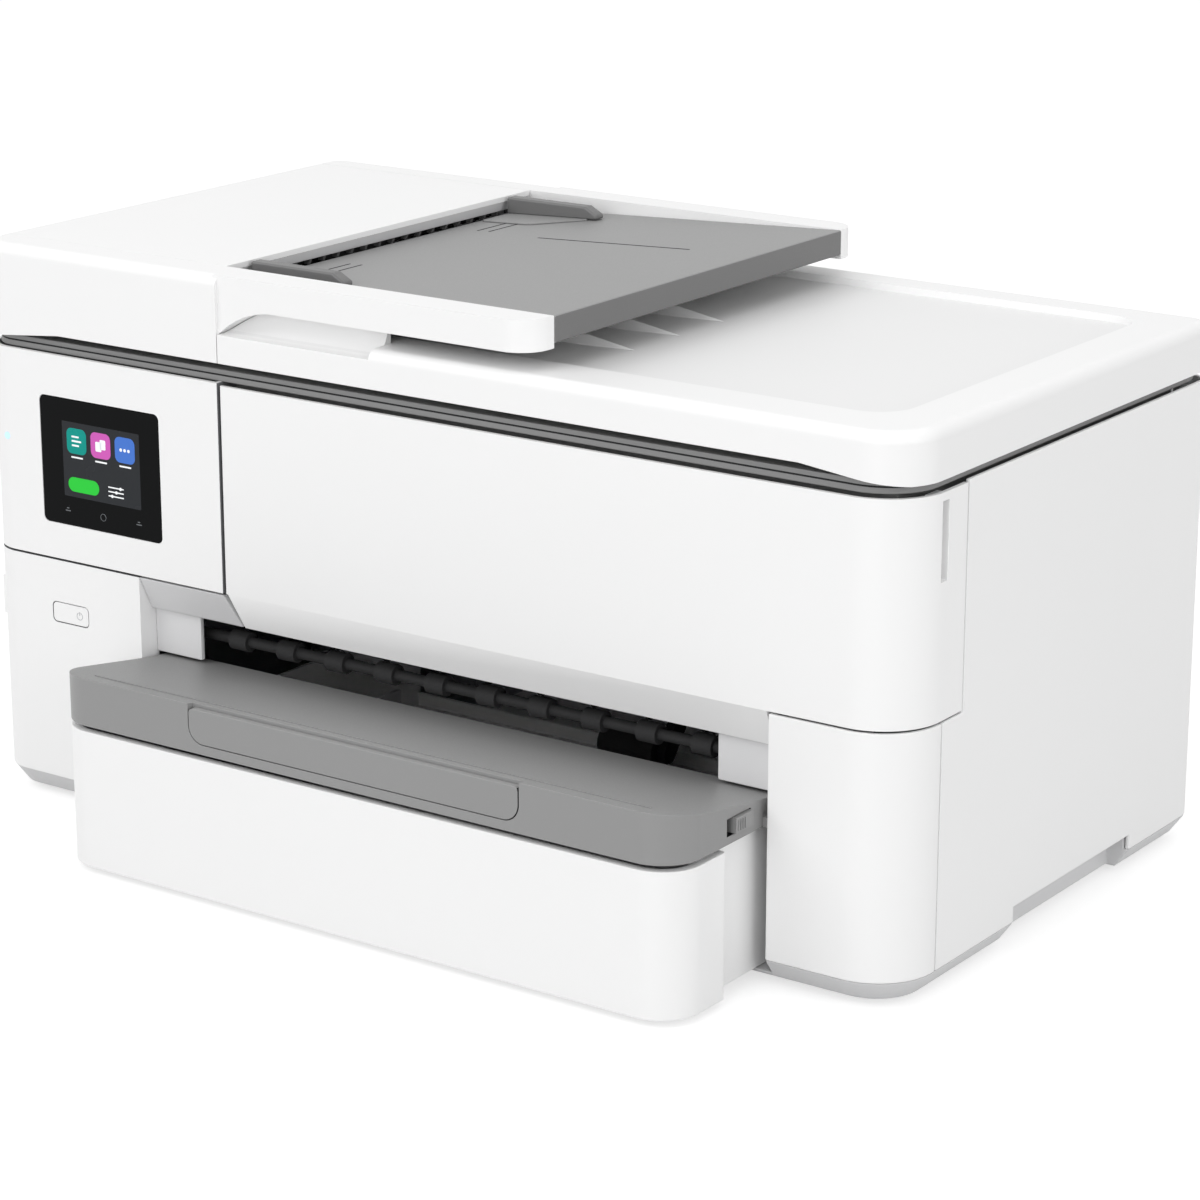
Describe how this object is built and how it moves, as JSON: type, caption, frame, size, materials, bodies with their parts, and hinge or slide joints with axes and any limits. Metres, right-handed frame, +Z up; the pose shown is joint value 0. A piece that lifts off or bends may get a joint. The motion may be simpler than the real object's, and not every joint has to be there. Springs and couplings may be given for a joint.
{
  "type": "inkjet printer",
  "caption": "Wide-format inkjet all-in-one with a scanner lid, top document feeder, touch screen, front paper cassette and grey output tray.",
  "frame": {"origin": "bottom centre of the whole box, on the surface the feet stand on", "axes": "+X to the right seen from the front, +Y to the rear, +Z up; the front faces -Y"},
  "size_m": [0.583, 0.383, 0.3097],
  "materials": {
    "white_shell": "fine satin",
    "light_grey": "fine satin",
    "mid_grey": "satin",
    "dark_grey": "satin",
    "black_plastic": "matte",
    "black_glass": "gloss",
    "bed_glass": "clear",
    "rubber": "matte",
    "steel": "bare",
    "chassis_metal": "plated",
    "board_green": "satin",
    "belt_rubber": "matte",
    "ink_shell": "satin",
    "light_pipe": "clear"
  },
  "bodies": {
    "printer": {"base_pan": "light_grey", "base_screws": "steel", "carriage_belt": "belt_rubber", "carriage_motor": "chassis_metal", "carriage_rail": "steel", "control_panel": "white_shell", "display_module": "black_glass", "exit_bezel": "light_grey", "feed_belts": "belt_rubber", "feed_motor": "chassis_metal", "feet": "rubber", "inner_chassis": "chassis_metal", "left_housing": "white_shell", "left_side_panel": "white_shell", "lid_hinges": "steel", "main_board": "board_green", "output_tray": "mid_grey", "platen": "black_plastic", "port_block": "black_plastic", "power_inlet": "black_plastic", "power_supply": "chassis_metal", "rear_panel": "white_shell", "right_housing": "white_shell", "right_side_panel": "white_shell", "scan_rail": "steel", "scanner_base": "mid_grey", "scanner_glass": "bed_glass", "screen_glass": "black_glass", "service_station": "dark_grey", "star_wheel_bar": "black_plastic", "status_light": "light_pipe"},
    "lid": {"scanner_lid": "white_shell", "lid_inner_panel": "white_shell", "lid_backing_pad": "white_shell", "feeder_housing": "white_shell", "feeder_tray": "mid_grey"},
    "carriage_unit": {"carriage": "black_plastic", "printhead": "chassis_metal", "ink_cartridges": "ink_shell"},
    "feeder_cover": {"feeder_cover": "white_shell"},
    "feeder_guide_front": {"feeder_guide_front": "dark_grey"},
    "feeder_guide_rear": {"feeder_guide_rear": "dark_grey"},
    "feeder_pick_roller": {"feeder_pick_roller": "rubber"},
    "front_door": {"front_door": "white_shell"},
    "rear_door": {"rear_door": "white_shell"},
    "power_button": {"power_button": "white_shell"},
    "output_extension": {"output_extension": "mid_grey"},
    "tray_latch": {"tray_latch": "mid_grey"},
    "input_tray": {"input_tray": "white_shell"},
    "paper_guide_left": {"paper_guide_left": "light_grey"},
    "paper_guide_right": {"paper_guide_right": "light_grey"},
    "length_guide": {"length_guide": "light_grey"},
    "idler_pulley": {"idler_pulley": "black_plastic"},
    "motor_pulley": {"motor_pulley": "black_plastic"},
    "feed_roller": {"feed_roller": "rubber"},
    "exit_roller_shaft": {"exit_roller_shaft": "rubber"},
    "feed_motor_pulley": {"feed_motor_pulley": "black_plastic"},
    "pick_arm": {"pick_arm": "black_plastic"},
    "pick_roller": {"pick_roller": "rubber"},
    "scan_head": {"scan_head": "dark_grey"}
  },
  "joints": [
    {"name": "lid_hinge", "type": "hinge", "parent": "printer", "child": "lid", "pos_m": [0, 0.1865, 0.268], "axis": [-1, 0, 0], "range_deg": [0, 70]},
    {"name": "feeder_cover_hinge", "type": "hinge", "parent": "lid", "child": "feeder_cover", "pos_m": [-0.2865, 0.03725, 0.302], "axis": [0, -1, 0], "range_deg": [0, 75]},
    {"name": "feeder_guide_front_slide", "type": "slide", "parent": "lid", "child": "feeder_guide_front", "axis": [0, 1, 0], "range_m": [0, 0.055]},
    {"name": "feeder_guide_rear_slide", "type": "slide", "parent": "lid", "child": "feeder_guide_rear", "axis": [0, 1, 0], "range_m": [-0.055, 0]},
    {"name": "feeder_pick_spin", "type": "hinge", "parent": "lid", "child": "feeder_pick_roller", "pos_m": [-0.16, 0.03725, 0.293], "axis": [0, 1, 0], "continuous": true},
    {"name": "front_door_hinge", "type": "hinge", "parent": "printer", "child": "front_door", "pos_m": [-0.1155, -0.1145, 0.19], "axis": [0, 0, -1], "range_deg": [0, 90]},
    {"name": "rear_door_hinge", "type": "hinge", "parent": "printer", "child": "rear_door", "pos_m": [0, 0.189, 0.1137], "axis": [-1, 0, 0], "range_deg": [0, 75]},
    {"name": "power_button_press", "type": "slide", "parent": "printer", "child": "power_button", "axis": [0, 1, 0], "range_m": [0, 0.0012], "stiffness_N_per_m": 600, "springref_m": -0.0004},
    {"name": "output_extension_slide", "type": "slide", "parent": "printer", "child": "output_extension", "axis": [0, -1, 0], "range_m": [0, 0.06]},
    {"name": "tray_latch_press", "type": "slide", "parent": "printer", "child": "tray_latch", "axis": [-1, 0, 0], "range_m": [0, 0.002], "stiffness_N_per_m": 400, "springref_m": -0.0004},
    {"name": "input_tray_slide", "type": "slide", "parent": "printer", "child": "input_tray", "axis": [0, -1, 0], "range_m": [0, 0.24]},
    {"name": "paper_guide_left_slide", "type": "slide", "parent": "input_tray", "child": "paper_guide_left", "axis": [1, 0, 0], "range_m": [0, 0.09]},
    {"name": "paper_guide_right_slide", "type": "slide", "parent": "input_tray", "child": "paper_guide_right", "axis": [1, 0, 0], "range_m": [-0.09, 0]},
    {"name": "length_guide_slide", "type": "slide", "parent": "input_tray", "child": "length_guide", "axis": [0, 1, 0], "range_m": [0, 0.1]},
    {"name": "carriage_slide", "type": "slide", "parent": "printer", "child": "carriage_unit", "axis": [1, 0, 0], "range_m": [-0.285, 0.117]},
    {"name": "motor_pulley_spin", "type": "hinge", "parent": "printer", "child": "motor_pulley", "pos_m": [0.236, 0.077, 0.19], "axis": [0, 1, 0], "continuous": true},
    {"name": "idler_pulley_spin", "type": "hinge", "parent": "printer", "child": "idler_pulley", "pos_m": [-0.236, 0.077, 0.19], "axis": [0, 1, 0], "continuous": true},
    {"name": "feed_roller_spin", "type": "hinge", "parent": "printer", "child": "feed_roller", "pos_m": [0, 0.0575, 0.131], "axis": [1, 0, 0], "continuous": true},
    {"name": "exit_roller_spin", "type": "hinge", "parent": "printer", "child": "exit_roller_shaft", "pos_m": [0, -0.0915, 0.106], "axis": [1, 0, 0], "continuous": true},
    {"name": "feed_motor_pulley_spin", "type": "hinge", "parent": "printer", "child": "feed_motor_pulley", "pos_m": [-0.28, 0.0015, 0.07], "axis": [1, 0, 0], "continuous": true},
    {"name": "pick_arm_swing", "type": "hinge", "parent": "printer", "child": "pick_arm", "pos_m": [0.0185, 0.1035, 0.092], "axis": [-1, 0, 0], "range_deg": [0, 20]},
    {"name": "pick_roller_spin", "type": "hinge", "parent": "pick_arm", "child": "pick_roller", "pos_m": [0.0185, 0.0595, 0.034], "axis": [1, 0, 0], "continuous": true},
    {"name": "scan_head_slide", "type": "slide", "parent": "printer", "child": "scan_head", "axis": [1, 0, 0], "range_m": [0, 0.42]}
  ],
  "couplings": [
    {"joint": "feeder_guide_rear_slide", "follows": "feeder_guide_front_slide", "ratio": -1},
    {"joint": "paper_guide_right_slide", "follows": "paper_guide_left_slide", "ratio": -1},
    {"joint": "motor_pulley_spin", "follows": "carriage_slide", "rad_per_m": -125},
    {"joint": "idler_pulley_spin", "follows": "carriage_slide", "rad_per_m": -125},
    {"joint": "exit_roller_spin", "follows": "feed_roller_spin", "ratio": 1},
    {"joint": "feed_motor_pulley_spin", "follows": "feed_roller_spin", "ratio": 1}
  ]
}
